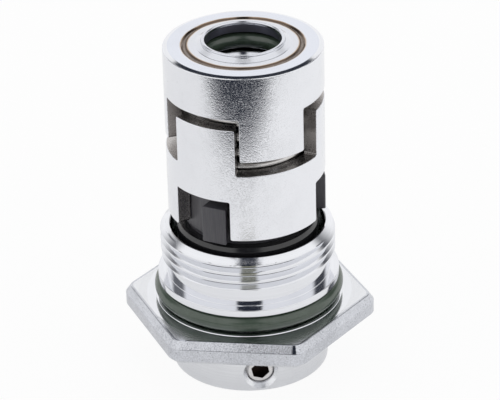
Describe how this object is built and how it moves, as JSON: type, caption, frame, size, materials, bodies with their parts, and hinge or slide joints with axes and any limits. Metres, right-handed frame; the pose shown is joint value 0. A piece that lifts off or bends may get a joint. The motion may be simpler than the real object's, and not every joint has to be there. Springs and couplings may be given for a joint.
{
  "type": "cartridge mechanical shaft seal",
  "caption": "Cartridge shaft seal with a threaded hexagonal gland, a set-screw drive collar and a spring-loaded seal ring driven by two interlocking crowns.",
  "frame": {"origin": "centre of the drive collar's underside, on the shaft's axis, where the seal stands", "axes": "+Z along the shaft's axis from the drive collar up to the driver, with one pair of the hexagon's flats square to Y"},
  "size_m": [0.055, 0.0486, 0.0767],
  "materials": {
    "satin_steel": "blasted satin stainless steel",
    "turned_steel": "finely turned stainless steel",
    "cast_steel": "cast stainless steel with turned seats and thread",
    "weld_metal": "fused weld with brown heat tint",
    "spring_steel": "smooth drawn stainless steel",
    "screw_steel": "machined stainless steel",
    "rotating_ring_carbide": "ground dark carbide",
    "stationary_ring_carbide": "lapped dark carbide",
    "rubber": "smooth dark green rubber"
  },
  "bodies": {
    "rotor": {"shaft_sleeve": "turned_steel", "shaft_o_ring": "rubber", "seal_driver": "satin_steel", "weld_bead": "weld_metal", "compression_spring": "spring_steel", "drive_collar": "turned_steel", "set_screw_1": "screw_steel", "set_screw_2": "screw_steel", "set_screw_3": "screw_steel"},
    "gland": {"gland": "cast_steel", "gland_o_ring": "rubber", "stationary_seal_ring": "stationary_ring_carbide", "seat_o_ring": "rubber", "locking_pin": "spring_steel"},
    "carrier": {"seal_carrier": "satin_steel", "rotating_seal_ring": "rotating_ring_carbide", "slide_o_ring": "rubber", "spring_washer": "spring_steel"}
  },
  "joints": [
    {"name": "gland_turn", "type": "hinge", "parent": "rotor", "child": "gland", "pos_m": [0, 0, 0.0215], "axis": [0, 0, 1], "continuous": true},
    {"name": "carrier_lift", "type": "slide", "parent": "rotor", "child": "carrier", "axis": [0, 0, 1], "range_m": [0, 0.002], "stiffness_N_per_m": 4000, "springref_m": -0.006, "deforming": ["compression_spring"]}
  ]
}
